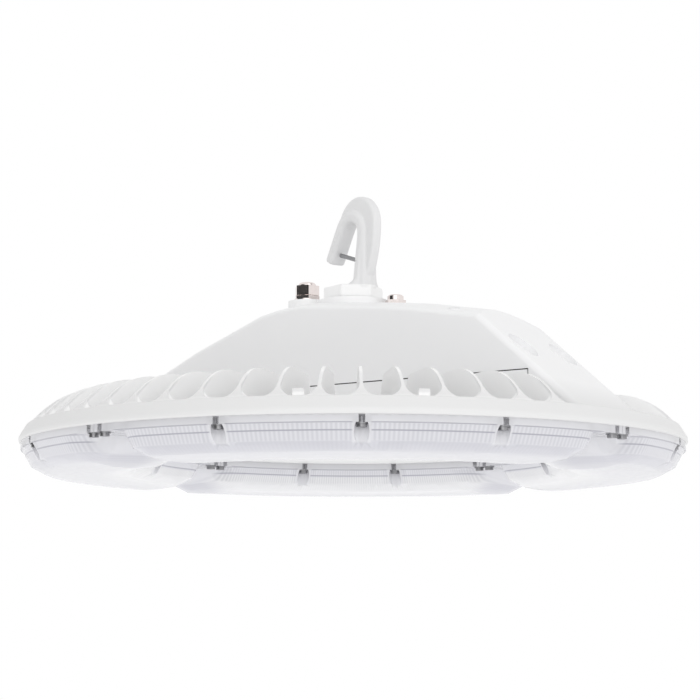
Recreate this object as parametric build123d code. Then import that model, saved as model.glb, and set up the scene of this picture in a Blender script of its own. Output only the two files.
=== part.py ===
from build123d import *
import math
import os

# A round LED high bay light. Millimetres, +Z up, X along the driver housing with its ramp at +X.
# The origin is on the axis of the disc, level with the lowest ring of the lenses.

# Heat sink casting: pan and rim
rim_radius = 305.0            # at the widest
rim_top_radius = 298.5        # where the sloping band ends
rim_inner_radius = 286.0
rim_floor_radius = 283.0      # where the rim's inner wall meets the floor
seat_z = 29.4                 # underside of the casting, where the lenses seat
rim_height = 15.3
lip_round = 2.2               # under the rim, towards the lenses
band_foot = 4.5               # upright part of the band
band_round = 5.0
rim_edge_round = 2.0
floor_thickness = 5.3
floor_fillet = 6.0

# Heat sink casting: fins
fin_count = 56
fin_thickness = 2.6
fin_top_z = 73.8
fin_inner_radius = 183.0
fin_inner_round = 17.0
fin_flat_radius = 240.0       # the flat top ends here and the crest arc begins
fin_outer_radius = 297.0      # where the crest arc meets the rim
fin_foot_radius = 11.0        # concave foot, on each side of a fin
fin_foot_depth = 9.0          # along the fin
ramp_side_gap = 20.0          # degrees kept free of fins, each side of the ramp
tail_side_gap = 8.0           # the same at the tail
root_depth = 2.0              # how far a cast feature reaches into what carries it

# Small cast blocks between the fins
pad_width = 9.0
pad_depth = 8.0
pad_height = 6.0
pad_offset = 1.5              # in fin pitches, each side of a lens sector's centre

# Driver housing
housing_half_width = 59.0
housing_tail_centre = -30.0   # the tail narrows as an ellipse from here
housing_tail_reach = 215.0
housing_tail_x = -243.0
crown_height = 8.5            # the roof's rise over its edges at full width
roof_edge_round = 5.0
cover_wall = 4.0
base_wall = 4.0
seam_z = 82.2
seam_gap = 1.0                # thickness of the pressed gasket
gasket_inset = 0.8
gasket_width = 2.4
gasket_toe_width = 3.2        # under the ramp's toe, from its edge inwards
ramp_toe_x = 263.0
ramp_toe_z = 50.1
ramp_angle = 41.5
ramp_wall = 5.0
ramp_edge_round = 6.0         # along both sides of the ramp
seam_step_x = 217.0           # the ramp's part of the cover stands on the land from here on
land_half_width = 62.0
recess_radius = 15.5          # two round blind recesses in the ramp
recess_depth = 5.5
recess_spread = 36.0
recess_x = 200.0
recess_wall = 3.5
# Height of the roof's edge along the housing: (x, z)
roof_line = [(-243, 73), (-236, 89), (-225, 99), (-210, 107), (-185, 113.5), (-150, 125), (-100, 140.3),
             (-66, 151.8), (-45, 155.6), (-20, 157.6), (10, 155.2), (67, 149.7), (100, 145.6), (127, 140.6),
             (169, 133.4), (280, 115)]

# Screws that hold the cover
cover_screw_radius = 2.5
cover_screw_length = 18.0
cover_head_radius = 4.25
cover_head_height = 5.0
cover_socket_flats = 4.0
cover_socket_depth = 2.5
cover_well_radius = 5.3
cover_pillar_radius = 8.0
cover_seat_thickness = 6.0
cover_screw_places = [(-105, 36), (-105, -36), (135, 42), (135, -42)]
screw_clearance = 0.3         # radial, round a screw in a plain hole
thread_clearance = 0.05       # radial, round a screw in its thread
hole_spare_depth = 1.0        # of a blind hole, past the end of its screw

# Hook
hub_radius = 34.0
hub_top_z = 166.7
hub_thickness = 12.0
hook_direction = -20.0        # degrees from +X, from the nose to the shank
hex_corner_radius = 28.0
hex_height = 12.0
hex_chamfer = 1.5
seal_thickness = 1.0
seal_radius = 23.0
stud_radius = 10.0
stud_length = 30.0
stud_clearance = 0.3
shank_offset = 21.0
shank_height = 49.1           # from the top of the hexagon to the start of the bend
bend_radius = 17.8
bend_angle = 149.0
nose_length = 35.5
nose_round = 2.5
hook_thickness = 12.0
hook_width = 18.0
hook_corner = 5.0
web_width = 10.0              # the web behind the bend
web_edge_round = 3.0
web_offset = 10.3             # centre of the web's arc
web_height = 56.3             # the same, above the hexagon
web_radius = 28.8
web_foot_height = 9.0         # the web leaves the shank here
web_foot_offset = 28.0
web_back_offset = 35.9        # halfway up its back
web_back_height = 30.5
shank_foot_thickness = 17.5
shank_foot_width = 23.0
shank_foot_flare = 4.0
shank_flare_height = 5.0
shank_foot_height = 46.0
locknut_flats = 30.0
locknut_height = 9.0

# Latch
latch_radius = 2.0
latch_pivot_offset = 17.5
latch_pivot_height = 22.2     # above the hexagon
latch_angle = 18.2            # above the horizontal, towards the nose
latch_length = 36.9
latch_eye_radius = 3.3
latch_eye_width = 4.0
latch_pin_radius = 1.2
latch_pin_length = 20.0
latch_pin_clearance = 0.04
latch_slot_width = 8.4
latch_slot_gap = 0.3
latch_swing = 55.0
spring_outer_radius = 2.9
spring_inner_radius = 1.5
spring_length = 3.6
set_screw_radius = 1.6
set_screw_length = 6.0

# Cable gland
gland_x = -53.0
gland_boss_radius = 18.0
gland_boss_top_z = 171.6
gland_boss_height = 18.0
gland_washer_radius = 12.8
gland_washer_thickness = 1.8
gland_flats = 22.0
gland_body_height = 3.0
gland_thread_radius = 7.8
gland_thread_length = 27.0
gland_thread_clearance = 0.2
gland_neck_radius = 7.2
gland_neck_height = 6.0
gland_turn = 12.0             # of the hexagons
gland_nut_gap = 0.6
gland_nut_height = 13.0
gland_nut_flats = 21.5
gland_nut_flats_height = 9.3
gland_nut_dome_radius = 8.6
gland_nut_dome_round = 3.2
gland_seal_inset = 1.0        # of the seal's end below the nut's top
gland_bore_radius = 4.5
gland_seal_radius = 6.2
gland_locknut_flats = 24.0
gland_locknut_height = 4.0

# Breather vent
vent_x = 47.0
vent_seat_z = 159.0
vent_boss_radius = 12.0
vent_boss_height = 8.0
vent_turn = 20.0
vent_cap_chamfer = 1.2
vent_washer_radius = 9.5
vent_washer_thickness = 1.0
vent_flats = 17.0
vent_hex_height = 3.5
vent_cap_radius = 7.5
vent_cap_height = 5.0
vent_thread_radius = 5.0
vent_thread_length = 12.0

# LED driver
driver_length = 168.0
driver_width = 54.0
driver_height = 34.0
driver_edge_round = 2.5
driver_x = 30.0
driver_flange_length = 9.0
driver_flange_thickness = 2.0
driver_screw_radius = 2.0
driver_screw_length = 8.0
driver_head_radius = 3.8
driver_head_height = 2.4
driver_screw_spread = 20.0
driver_pad_height = 6.0
driver_pad_length = 12.0
terminal_length = 30.0
terminal_width = 18.0
terminal_height = 14.0
terminal_x = -100.0
terminal_pole_count = 5
terminal_pole_radius = 1.8
terminal_pole_depth = 3.0
terminal_step_height = 8.4

# Lenses
sector_count = 4
sector_start_angle = -54.64   # centre of the front lens
sector_gap = 0.6              # between two lenses
flange_outer_radius = 303.0
flange_inner_radius = 182.0
flange_thickness = 6.2
dome_outer_radius = 301.5
dome_inner_radius = 185.5
dome_end_inset = 12.0         # from the sector's straight edge
dome_corner_radius = 31.0
dome_wall = 2.5
wall_height = 13.7            # from the flange to the crease
wall_lean = 7.5               # how far the wall comes in on its way down
shoulder_height = 6.6         # from the crease to the crown
shoulder_lean = 13.0
screw_circle_outer = 297.5
screw_circle_inner = 189.5
outer_screw_angles = [-43.67, -21.835, 0.0, 21.835, 43.67]
inner_screw_angles = [-43.1, -14.37, 14.37, 43.1]
pocket_radius = 6.0
pocket_wall = 2.0
lens_screw_radius = 2.0
lens_screw_length = 14.0
lens_head_radius = 4.0
lens_head_height = 2.6
lens_washer_radius = 5.1
lens_washer_thickness = 1.0
screw_boss_radius = 6.0
screw_boss_height = 9.0
gasket_outset = 0.4           # outside the dome's outline
gasket_inside = 1.5           # inside it
gasket_groove_depth = 1.2

# LED boards
board_inner_radius = 205.0
board_outer_radius = 281.0
board_thickness = 1.6
board_edge_inset = 22.0
board_corner = 8.0
chip_rows = [220.0, 243.0, 266.0]
chip_count = 11
chip_size = 3.5
chip_height = 0.8

# Values worked out from those above
rim_top_z = seat_z + rim_height
floor_z = seat_z + floor_thickness
pitch = 360.0 / fin_count
flange_z = seat_z - flange_thickness
crease_z = flange_z - wall_height
shoulder_z = crease_z - shoulder_height
crown_mid_radius = (dome_outer_radius + dome_inner_radius) / 2
crown_half_width = (dome_outer_radius - dome_inner_radius) / 2 - wall_lean - shoulder_lean
sector_angle = 360.0 / sector_count
ramp_slope = math.tan(math.radians(ramp_angle))
driver_seat_z = floor_z + driver_pad_height
land_start_x = seam_step_x - seam_gap - base_wall
hook_seat_z = hub_top_z + seal_thickness
hook_base_z = hook_seat_z + hex_height
web_z = hook_base_z + web_height
bend_z = hook_base_z + shank_height
latch_pivot_z = hook_base_z + latch_pivot_height
gland_seat_z = gland_boss_top_z + gland_washer_thickness
gland_neck_z = gland_seat_z + gland_body_height
reach = 400.0                 # beyond the whole light, for cutting shapes


# Small helpers
def block(x0, x1, y0, y1, z0, z1):
    return Pos((x0 + x1) / 2, (y0 + y1) / 2, (z0 + z1) / 2) * Box(x1 - x0, y1 - y0, z1 - z0)


def slab(z0, z1, x0=-reach, x1=reach):
    return block(x0, x1, -reach, reach, z0, z1)


def rod(radius, z0, z1, x=0.0, y=0.0):
    return Pos(x, y, (z0 + z1) / 2) * Cylinder(radius, z1 - z0)


def tube(outer, inner, z0, z1, x=0.0, y=0.0):
    return rod(outer, z0, z1, x, y) - rod(inner, z0 - 1, z1 + 1, x, y)


def hexagon(flats, z0, z1, x=0.0, y=0.0, turn=0.0):
    outline = RegularPolygon(flats / 2, 6, major_radius=False, rotation=turn)
    return Pos(x, y, z0) * extrude(outline, z1 - z0)


def side_profile(points, radii=None):
    # A closed outline in the XZ plane, each corner with its own radius
    radii = radii or [0.0] * len(points)
    outline = FilletPolyline(*points, radius=radii, close=True)
    return Plane.XZ * make_face(outline)


def on_circle(radius, angle):
    return (radius * math.cos(math.radians(angle)), radius * math.sin(math.radians(angle)))


def write(shape, name):
    solids = shape.solids()
    shape = solids[0] if len(solids) == 1 else Compound(children=solids)
    export_step(shape, "parts/" + name + ".step")
    print(name, len(solids))


# Driver housing, as a loft through sections across it
def half_width(x):
    if x >= housing_tail_centre:
        return housing_half_width
    share = (housing_tail_centre - x) / housing_tail_reach
    return housing_half_width * math.sqrt(1 - share * share)


def housing_section(x, edge_z, inset):
    width = half_width(x) - inset
    edge_z = edge_z - inset
    bend = min(roof_edge_round, 0.4 * width)
    crown = crown_height * (width / housing_half_width) ** 1.5
    corner = bend * (1 - math.sqrt(0.5))
    left = Line((-width, seat_z), (-width, edge_z - bend))
    bend_z0 = edge_z - bend
    left_bend = ThreePointArc((-width, bend_z0), (corner - width, edge_z - corner), (bend - width, edge_z))
    roof = ThreePointArc((bend - width, edge_z), (0, edge_z + crown), (width - bend, edge_z))
    right_bend = ThreePointArc((width - bend, edge_z), (width - corner, edge_z - corner), (width, bend_z0))
    right = Line((width, edge_z - bend), (width, seat_z))
    floor = Line((width, seat_z), (-width, seat_z))
    face = make_face([left, left_bend, roof, right_bend, right, floor])
    return Plane(origin=(x, 0, 0), x_dir=(0, 1, 0), z_dir=(1, 0, 0)) * face


def ramp_z(x, depth):
    # Height of a plane that lies below the ramp's face by this depth
    return ramp_toe_z + ramp_slope * (ramp_toe_x - x) - depth / math.cos(math.radians(ramp_angle))


def under_ramp(depth):
    foot_x = ramp_toe_x + ramp_z(ramp_toe_x, depth) / ramp_slope
    outline = [(-reach, 0), (foot_x, 0), (foot_x - reach, reach * ramp_slope), (-reach, reach * ramp_slope)]
    body = extrude(side_profile(outline), housing_half_width, both=True)
    slope_face = body.faces().sort_by(Axis((0, 0, 0), (ramp_slope, 0, 1)))[-1]
    edges = [edge for edge in slope_face.edges() if abs(edge.center().Y) > housing_half_width / 2]
    return fillet(edges, ramp_edge_round)


def housing(inset, ramp_depth):
    tail = inset if inset else 0.0
    stations = [(x, z) for x, z in roof_line]
    stations[0] = (stations[0][0] + tail, stations[0][1])
    sections = [housing_section(x, z, inset) for x, z in stations]
    body = loft(sections, ruled=True)
    return body & under_ramp(ramp_depth)


def below_seam(gap):
    # Everything under the seam, which steps down to the land at the ramp
    step_x = seam_step_x - gap
    land_z = rim_top_z + seam_gap - gap
    outline = [(-reach, 0), (reach, 0), (reach, land_z), (step_x, land_z), (step_x, seam_z - gap),
               (-reach, seam_z - gap)]
    return extrude(side_profile(outline), reach, both=True)


def ramp_frame(y):
    # A plane on the ramp's face, at one of the recesses
    angle = math.radians(ramp_angle)
    normal = (math.sin(angle), 0, math.cos(angle))
    return Plane(origin=(recess_x, y, ramp_z(recess_x, 0)), x_dir=(0, 1, 0), z_dir=normal)


def roof_z(x, y):
    for (x0, z0), (x1, z1) in zip(roof_line, roof_line[1:]):
        if x0 <= x <= x1:
            edge = z0 + (z1 - z0) * (x - x0) / (x1 - x0)
    return edge + crown_height * (1 - (y / half_width(x)) ** 2)


# Heat sink
def make_fin(width):
    crest_end_z = rim_top_z - root_depth
    crest_rise = fin_top_z - crest_end_z
    run = fin_outer_radius - fin_flat_radius
    radius = (run ** 2 + crest_rise ** 2) / (2 * crest_rise)
    mid_angle = math.asin(run / radius) / 2
    drop = radius * (1 - math.cos(mid_angle))
    middle = (fin_flat_radius + radius * math.sin(mid_angle), fin_top_z - drop)
    low = floor_z - root_depth
    foot = (fin_outer_radius, crest_end_z)
    corner_start = (fin_inner_radius, fin_top_z - fin_inner_round)
    bend = fin_inner_round * (1 - math.sqrt(0.5))
    corner_mid = (fin_inner_radius + bend, fin_top_z - bend)
    corner_end = (fin_inner_radius + fin_inner_round, fin_top_z)
    crest_start = (fin_flat_radius, fin_top_z)
    outline = [Line((fin_inner_radius, low), corner_start),
               ThreePointArc(corner_start, corner_mid, corner_end),
               Line(corner_end, crest_start), ThreePointArc(crest_start, middle, foot),
               Line(foot, (fin_outer_radius, low)), Line((fin_outer_radius, low), (fin_inner_radius, low))]
    return extrude(Plane.XZ * make_face(outline), width / 2, both=True)


def make_fin_foot():
    half = fin_thickness / 2
    spread = half + fin_foot_radius
    top = rim_top_z + fin_foot_radius
    bend = fin_foot_radius * math.sqrt(0.5)
    low = rim_top_z - root_depth
    right = ThreePointArc((half, top), (spread - bend, top - bend), (spread, rim_top_z))
    left = ThreePointArc((-spread, rim_top_z), (bend - spread, top - bend), (-half, top))
    outline = [right, Line((spread, rim_top_z), (spread, low)), Line((spread, low), (-spread, low)),
               Line((-spread, low), (-spread, rim_top_z)), left, Line((-half, top), (half, top))]
    start = fin_outer_radius - fin_foot_depth
    plane = Plane(origin=(start, 0, 0), x_dir=(0, 1, 0), z_dir=(1, 0, 0))
    foot = extrude(plane * make_face(outline), fin_foot_depth)
    return foot & make_fin(3 * spread)


def fin_angles():
    angles = []
    for number in range(fin_count):
        angle = (number + 0.5) * pitch
        from_ramp = min(angle, 360 - angle)
        if from_ramp > ramp_side_gap and 180 - from_ramp > tail_side_gap:
            angles.append(angle)
    return angles


def make_pan():
    outline = [(0, seat_z), (rim_radius, seat_z), (rim_radius, seat_z + band_foot),
               (rim_top_radius, rim_top_z), (rim_inner_radius, rim_top_z), (rim_floor_radius, floor_z),
               (0, floor_z)]
    radii = [0, lip_round, band_round, rim_edge_round, rim_edge_round, floor_fillet, 0]
    return revolve(side_profile(outline, radii), Axis.Z)


def lens_screw_places(sector):
    centre = sector_start_angle + sector * sector_angle
    outer = [on_circle(screw_circle_outer, centre + a) for a in outer_screw_angles]
    inner = [on_circle(screw_circle_inner, centre + a) for a in inner_screw_angles]
    return outer, inner


def make_heat_sink():
    fin = make_fin(fin_thickness) + make_fin_foot()
    added = [Rot(0, 0, angle) * fin for angle in fin_angles()]
    for sector in range(sector_count):
        centre = sector_start_angle + sector * sector_angle
        for side in (-1, 1):
            turn = centre + side * pad_offset * pitch
            if min(turn % 360, 360 - turn % 360) > ramp_side_gap:
                pad = block(rim_inner_radius - root_depth, rim_inner_radius - root_depth + pad_depth,
                            -pad_width / 2, pad_width / 2, floor_z - root_depth, rim_top_z + pad_height)
                added.append(Rot(0, 0, turn) * pad)
    land = block(land_start_x, rim_inner_radius + root_depth, -land_half_width, land_half_width,
                 floor_z - root_depth, rim_top_z)
    pan = make_pan().fuse(land, *added)
    # The lower walls of the housing stand on the pan, and its room is cut out
    shell = housing(0, 0) & below_seam(seam_gap) & slab(floor_z - root_depth, seam_z)
    room = housing(base_wall, ramp_wall) & slab(floor_z, reach, -reach, land_start_x)
    pan = pan + shell - room
    bosses = []
    for x, y in cover_screw_places:
        bosses.append(rod(cover_pillar_radius, floor_z - root_depth, seam_z, x, y))
    for end in (-1, 1):
        pad_x = driver_x + end * (driver_length / 2 + driver_flange_length / 2)
        bosses.append(block(pad_x - driver_pad_length / 2, pad_x + driver_pad_length / 2,
                            -driver_width / 2, driver_width / 2, floor_z - root_depth, driver_seat_z))
    bosses.append(block(terminal_x - terminal_length / 2, terminal_x + terminal_length / 2,
                        -terminal_width / 2, terminal_width / 2, floor_z - root_depth, driver_seat_z))
    holes = []
    for sector in range(sector_count):
        outer, inner = lens_screw_places(sector)
        for x, y in inner:
            bosses.append(rod(screw_boss_radius, floor_z - root_depth, floor_z + screw_boss_height, x, y))
        for x, y in outer + inner:
            depth = lens_screw_length - flange_thickness
            holes.append(rod(lens_screw_radius + thread_clearance, seat_z - 1, seat_z + depth, x, y))
    for x, y in cover_screw_places:
        depth = cover_screw_length - cover_seat_thickness + hole_spare_depth
        holes.append(rod(cover_screw_radius + thread_clearance, seam_z - depth, seam_z + 1, x, y))
    for x, y in driver_screw_places():
        holes.append(rod(driver_screw_radius + thread_clearance, driver_seat_z - driver_screw_length,
                         driver_seat_z + 1, x, y))
    return pan.fuse(*bosses).cut(*holes)


# Cover of the driver housing
def make_driver_cover():
    skin = (housing(0, 0) - below_seam(0)) & slab(rim_top_z, reach, -reach, ramp_toe_x)
    room = housing(cover_wall, ramp_wall)
    extras = [rod(hub_radius, hub_top_z - hub_thickness, hub_top_z),
              rod(gland_boss_radius, gland_boss_top_z - gland_boss_height, gland_boss_top_z, gland_x),
              rod(vent_boss_radius, vent_seat_z - vent_boss_height, vent_seat_z, vent_x)]
    for x, y in cover_screw_places:
        extras.append(rod(cover_pillar_radius, seam_z, roof_z(x, y) - cover_wall / 2, x, y))
    for side in (-1, 1):
        backing = Cylinder(recess_radius + recess_wall, recess_depth + recess_wall,
                           align=(Align.CENTER, Align.CENTER, Align.MAX))
        extras.append(ramp_frame(side * recess_spread) * Pos(0, 0, -cover_wall / 4) * backing)
    holes = [rod(stud_radius + stud_clearance, seam_z, reach),
             rod(gland_thread_radius + gland_thread_clearance, seam_z, reach, gland_x),
             rod(vent_thread_radius + thread_clearance, seam_z, reach, vent_x),
             rod(vent_boss_radius, vent_seat_z, reach, vent_x)]
    for x, y in cover_screw_places:
        holes.append(rod(cover_screw_radius + screw_clearance, 0, reach, x, y))
        holes.append(rod(cover_well_radius, seam_z + cover_seat_thickness, reach, x, y))
    for side in (-1, 1):
        recess = Cylinder(recess_radius, recess_depth + 5, align=(Align.CENTER, Align.CENTER, Align.MIN))
        holes.append(ramp_frame(side * recess_spread) * Pos(0, 0, -recess_depth) * recess)
    return (skin - room).fuse(*extras).cut(*holes)


def make_cover_gasket():
    band = (housing(gasket_inset, 0) & below_seam(0)) - below_seam(seam_gap)
    band = band & slab(rim_top_z, seam_z, -reach, ramp_toe_x - gasket_inset)
    room = housing(gasket_inset + gasket_width, 0) & slab(0, reach, -reach, ramp_toe_x - gasket_toe_width)
    return band - room


# Fasteners
def make_screw(radius, length, head_radius, head_height, rounding=0.0):
    # Stands with the underside of its head at the origin and its shank upwards
    screw = rod(radius, -head_height / 2, length) + rod(head_radius, -head_height, 0)
    if rounding:
        screw = fillet(screw.faces().sort_by(Axis.Z)[0].edges(), rounding)
    return screw


def driver_screw_places():
    places = []
    for end in (-1, 1):
        for side in (-1, 1):
            x = driver_x + end * (driver_length / 2 + driver_flange_length / 2)
            places.append((x, side * driver_screw_spread))
    return places


def make_cover_screws():
    screw = make_screw(cover_screw_radius, cover_screw_length, cover_head_radius, cover_head_height)
    socket = hexagon(cover_socket_flats, -cover_head_height - 1, cover_socket_depth - cover_head_height)
    screw = Rot(180, 0, 0) * (screw - socket)
    z = seam_z + cover_seat_thickness
    return Compound(children=[Pos(x, y, z) * screw for x, y in cover_screw_places])


def make_driver_screws():
    length = driver_screw_length - hole_spare_depth
    screw = Rot(180, 0, 0) * make_screw(driver_screw_radius, length, driver_head_radius, driver_head_height)
    z = driver_seat_z + driver_flange_thickness
    return Compound(children=[Pos(x, y, z) * screw for x, y in driver_screw_places()])


# Inside the housing
def make_led_driver():
    half = driver_length / 2
    body = block(-half, half, -driver_width / 2, driver_width / 2, 0, driver_height)
    body = fillet(body.edges().filter_by(Axis.X), driver_edge_round)
    ends = block(-half - driver_flange_length, half + driver_flange_length,
                 -driver_width / 2, driver_width / 2, 0, driver_flange_thickness)
    body = Pos(driver_x, 0, driver_seat_z) * (body + ends)
    holes = [rod(driver_screw_radius + screw_clearance, 0, driver_seat_z + 2 * driver_flange_thickness, x, y)
             for x, y in driver_screw_places()]
    return body.cut(*holes)


def make_terminal_block():
    half = terminal_length / 2
    body = block(-half, half, -terminal_width / 2, terminal_width / 2, 0, terminal_height)
    body = body - block(-reach, reach, terminal_width / 4, terminal_width, terminal_step_height, reach)
    step_pitch = terminal_length / terminal_pole_count
    for number in range(terminal_pole_count):
        x = (number + 0.5) * step_pitch - terminal_length / 2
        low = terminal_height - terminal_pole_depth
        body = body - rod(terminal_pole_radius, low, reach, x, -terminal_width / 8)
    return Pos(terminal_x, 0, driver_seat_z) * body


# Hook. It is drawn in the XZ plane and then turned to its direction.
def hook_turn(shape):
    return Rot(0, 0, hook_direction) * shape


def make_web():
    # A narrower plate behind the bend, which fades at the shank's foot and at the nose
    bend_start, bend_mid, bend_end = hook_path()[1:4]
    foot = (shank_offset, hook_base_z + web_foot_height)
    back_start = (web_foot_offset, hook_base_z + web_foot_height)
    back_mid = (web_back_offset, hook_base_z + web_back_height)
    arc_start = (web_offset + web_radius, web_z)
    arc_end = (web_offset - web_radius, web_z)
    outline = [Line(foot, back_start), ThreePointArc(back_start, back_mid, arc_start),
               ThreePointArc(arc_start, (web_offset, web_z + web_radius), arc_end), Line(arc_end, bend_end),
               ThreePointArc(bend_end, bend_mid, bend_start), Line(bend_start, foot)]
    web = extrude(Plane.XZ * make_face(outline), web_width / 2, both=True)
    faces = [web.faces().sort_by(Axis.X)[-1], web.faces().sort_by(Axis.Z)[-1]]
    edges = [edge for face in faces for edge in face.edges() if abs(edge.center().Y) > web_width / 4]
    return fillet(edges, web_edge_round)


def hook_path():
    angle = math.radians(bend_angle)
    centre_x = shank_offset - bend_radius
    start = (shank_offset, hook_base_z - root_depth)
    bend_start = (shank_offset, bend_z)
    bend_mid = (centre_x + bend_radius * math.cos(angle / 2), bend_z + bend_radius * math.sin(angle / 2))
    bend_end = (centre_x + bend_radius * math.cos(angle), bend_z + bend_radius * math.sin(angle))
    tip = (bend_end[0] - nose_length * math.sin(angle), bend_end[1] + nose_length * math.cos(angle))
    return start, bend_start, bend_mid, bend_end, tip


def make_hook():
    start, bend_start, bend_mid, bend_end, tip = hook_path()
    lines = Line(start, bend_start) + ThreePointArc(bend_start, bend_mid, bend_end) + Line(bend_end, tip)
    path = Plane.XZ * lines
    section = Plane(origin=(start[0], 0, start[1]), x_dir=(1, 0, 0), z_dir=(0, 0, 1))
    outline = section * RectangleRounded(hook_thickness, hook_width, hook_corner)
    bar = sweep(outline, path=path, transition=Transition.ROUND)
    along = Axis((tip[0], 0, tip[1]), (bend_end[0] - tip[0], 0, bend_end[1] - tip[1]))
    tip_face = bar.faces().sort_by(along)[0]
    bar = fillet(tip_face.edges(), nose_round)
    low = Plane(origin=(shank_offset, 0, hook_base_z)) * RectangleRounded(
        shank_foot_thickness + shank_foot_flare * 2, shank_foot_width + shank_foot_flare * 2, hook_corner)
    low_mid = Plane(origin=(shank_offset, 0, hook_base_z + shank_flare_height)) * RectangleRounded(
        shank_foot_thickness, shank_foot_width, hook_corner)
    high = Plane(origin=(shank_offset, 0, hook_base_z + shank_foot_height)) * RectangleRounded(
        hook_thickness, hook_width, hook_corner)
    foot = loft([low, low_mid], ruled=True) + loft([low_mid, high], ruled=True)
    foot = foot & hexagon_prism(hook_base_z - 1, hook_base_z + shank_foot_height + 1)
    base = hexagon_prism(hook_seat_z, hook_base_z)
    base = chamfer(base.faces().sort_by(Axis.Z)[0].edges(), hex_chamfer)
    hook = bar + make_web() + foot + base + rod(stud_radius, hook_seat_z - stud_length, hook_seat_z + 1)
    hook = hook.cut(*hook_cuts())
    return hook_turn(hook)


def hexagon_prism(z0, z1):
    return Pos(0, 0, z0) * extrude(RegularPolygon(hex_corner_radius, 6, rotation=0), z1 - z0)


def hook_cuts():
    # Slot for the latch, up to where the open rod leaves the shank, bore for its pin, and the set screw's hole
    reach = latch_eye_radius + latch_slot_gap
    inner = shank_offset - shank_foot_thickness / 2
    swing = math.radians(latch_angle + latch_swing)
    rod_half = (latch_radius + latch_slot_gap) / math.cos(swing)
    slot_top = latch_pivot_z + (latch_pivot_offset - inner) * math.tan(swing) + rod_half
    slot_half = latch_slot_width / 2
    slot = block(inner - shank_foot_flare, latch_pivot_offset + reach, -slot_half, slot_half,
                 latch_pivot_z - reach, slot_top)
    pin_bore = Rot(90, 0, 0) * Cylinder(latch_pin_radius + latch_pin_clearance, latch_pin_length)
    pin_bore = Pos(latch_pivot_offset, 0, latch_pivot_z) * pin_bore
    return [slot, pin_bore, set_screw_hole()]


def set_screw_hole():
    return set_screw_place() * rod(set_screw_radius + thread_clearance, -0.5, set_screw_length + 0.5)


def set_screw_place():
    # On the flat of the hexagon that faces away from the shank, level, pointing inwards
    flat = hex_corner_radius * math.cos(math.radians(30))
    return Rot(0, 0, 210) * Pos(flat, 0, hook_seat_z + hex_height / 2) * Rot(0, -90, 0)


def make_set_screw():
    screw = rod(set_screw_radius, 0.3, set_screw_length) - hexagon(1.6, -1, 1.8)
    return hook_turn(set_screw_place() * screw)


def latch_place(shape):
    return hook_turn(Pos(latch_pivot_offset, 0, latch_pivot_z) * shape)


def make_latch():
    # The rod lies along -X from the pivot, and its eye stands beside the spring
    side = latch_slot_width / 2 - latch_slot_gap - latch_eye_width / 2
    eye = Pos(0, -side, 0) * Rot(90, 0, 0) * Cylinder(latch_eye_radius, latch_eye_width)
    arm = Pos(-latch_length / 2, -side, 0) * Rot(0, 90, 0) * Cylinder(latch_radius, latch_length)
    arm = chamfer(arm.faces().sort_by(Axis.X)[0].edges(), 0.6)
    bore = Rot(90, 0, 0) * Cylinder(latch_pin_radius + latch_pin_clearance, 20)
    return latch_place(Rot(0, latch_angle, 0) * (eye + arm - bore))


def make_latch_pin():
    return latch_place(Rot(90, 0, 0) * Cylinder(latch_pin_radius, latch_pin_length - 1))


def make_latch_spring():
    side = latch_slot_width / 2 - latch_slot_gap - spring_length / 2
    ring = Cylinder(spring_outer_radius, spring_length) - Cylinder(spring_inner_radius, spring_length + 1)
    return latch_place(Pos(0, side, 0) * Rot(90, 0, 0) * ring)


def make_hook_locknut():
    top = hub_top_z - hub_thickness
    nut = hexagon(locknut_flats, top - locknut_height, top)
    return nut - rod(stud_radius + thread_clearance, top - 20, top + 1)


def make_hook_seal():
    return tube(seal_radius, stud_radius + stud_clearance, hub_top_z, hook_seat_z)


# Cable gland
def make_gland_washer():
    bore = gland_thread_radius + gland_thread_clearance
    return tube(gland_washer_radius, bore, gland_boss_top_z, gland_seat_z, gland_x)


def make_gland_body():
    body = hexagon(gland_flats, gland_seat_z, gland_neck_z, gland_x, 0, gland_turn)
    body = body + rod(gland_neck_radius, gland_neck_z, gland_neck_z + gland_neck_height, gland_x)
    body = body + rod(gland_thread_radius, gland_seat_z - gland_thread_length, gland_seat_z, gland_x)
    return body - rod(gland_seal_radius + thread_clearance, 0, reach, gland_x)


def make_gland_nut():
    z = gland_neck_z + gland_nut_gap
    nut = hexagon(gland_nut_flats, z, z + gland_nut_flats_height, gland_x, 0, gland_turn)
    dome = rod(gland_nut_dome_radius, z, z + gland_nut_height, gland_x)
    dome = fillet(dome.faces().sort_by(Axis.Z)[-1].edges(), gland_nut_dome_round)
    inside = rod(gland_neck_radius + thread_clearance, 0, gland_neck_z + gland_neck_height, gland_x)
    mouth = rod(gland_seal_radius + thread_clearance, 0, reach, gland_x)
    return nut + dome - inside - mouth


def make_gland_seal():
    top = gland_neck_z + gland_nut_gap + gland_nut_height - gland_seal_inset
    return tube(gland_seal_radius, gland_bore_radius, gland_seat_z, top, gland_x)


def make_gland_locknut():
    top = gland_boss_top_z - gland_boss_height
    nut = hexagon(gland_locknut_flats, top - gland_locknut_height, top, gland_x)
    return nut - rod(gland_thread_radius + thread_clearance, 0, reach, gland_x)


# Breather vent
def make_vent_washer():
    z = vent_seat_z + vent_washer_thickness
    return tube(vent_washer_radius, vent_thread_radius + thread_clearance, vent_seat_z, z, vent_x)


def make_breather_vent():
    z = vent_seat_z + vent_washer_thickness
    body = hexagon(vent_flats, z, z + vent_hex_height, vent_x, 0, vent_turn)
    cap = rod(vent_cap_radius, z, z + vent_hex_height + vent_cap_height, vent_x)
    cap = chamfer(cap.faces().sort_by(Axis.Z)[-1].edges(), vent_cap_chamfer)
    return body + cap + rod(vent_thread_radius, z - vent_thread_length, z, vent_x)


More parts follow.
